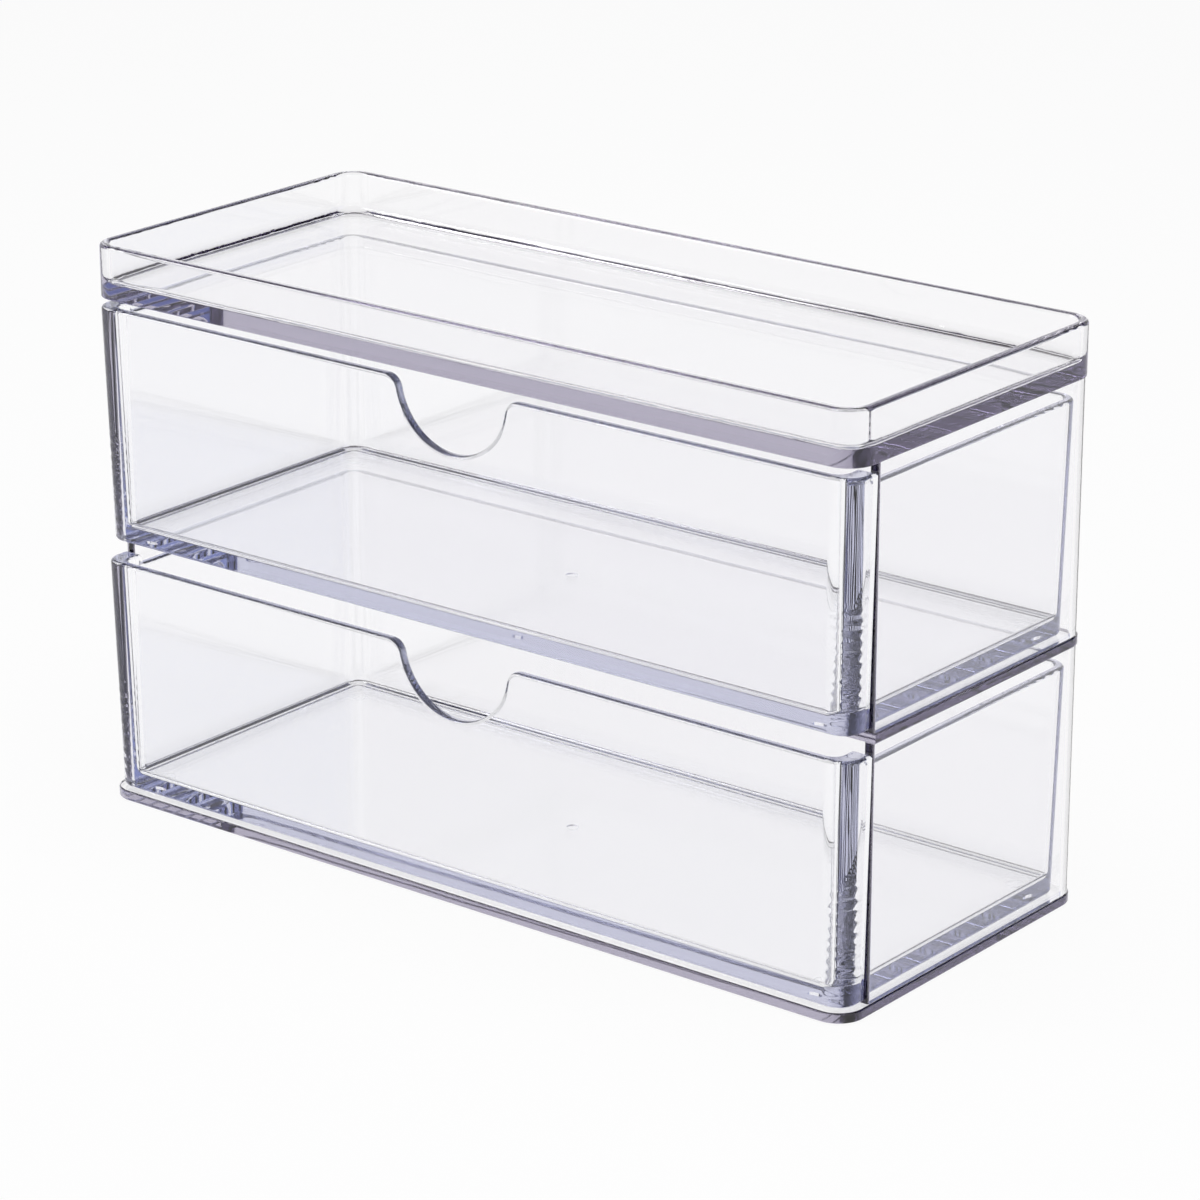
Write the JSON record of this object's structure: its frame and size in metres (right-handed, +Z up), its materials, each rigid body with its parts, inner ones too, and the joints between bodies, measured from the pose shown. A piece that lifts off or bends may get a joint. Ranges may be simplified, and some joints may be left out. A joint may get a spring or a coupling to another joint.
{
  "type": "cotton pad holder with drawers",
  "caption": "Clear plastic countertop organiser with stacked full-width drawers, round finger scoops in their fronts and a shallow open tray on top.",
  "frame": {"origin": "middle of the base plate's underside, on the surface that the organiser stands on", "axes": "+X to the right along the width as seen from the front, +Y towards the back, +Z up; the drawers open towards -Y"},
  "size_m": [0.18, 0.076, 0.1134],
  "materials": {
    "clear_case": "clear rigid plastic, polished, with a faint violet tint at its thick edges",
    "clear_drawer": "clear rigid plastic, polished"
  },
  "bodies": {
    "case": {"base_plate": "clear_case", "lower_wall": "clear_case", "middle_shelf": "clear_case", "upper_wall": "clear_case", "top_tray": "clear_case"},
    "upper_drawer": {"upper_drawer": "clear_drawer"},
    "lower_drawer": {"lower_drawer": "clear_drawer"}
  },
  "joints": [
    {"name": "upper_drawer_slide", "type": "slide", "parent": "case", "child": "upper_drawer", "axis": [0, -1, 0], "range_m": [0, 0.06]},
    {"name": "lower_drawer_slide", "type": "slide", "parent": "case", "child": "lower_drawer", "axis": [0, -1, 0], "range_m": [0, 0.06]}
  ]
}
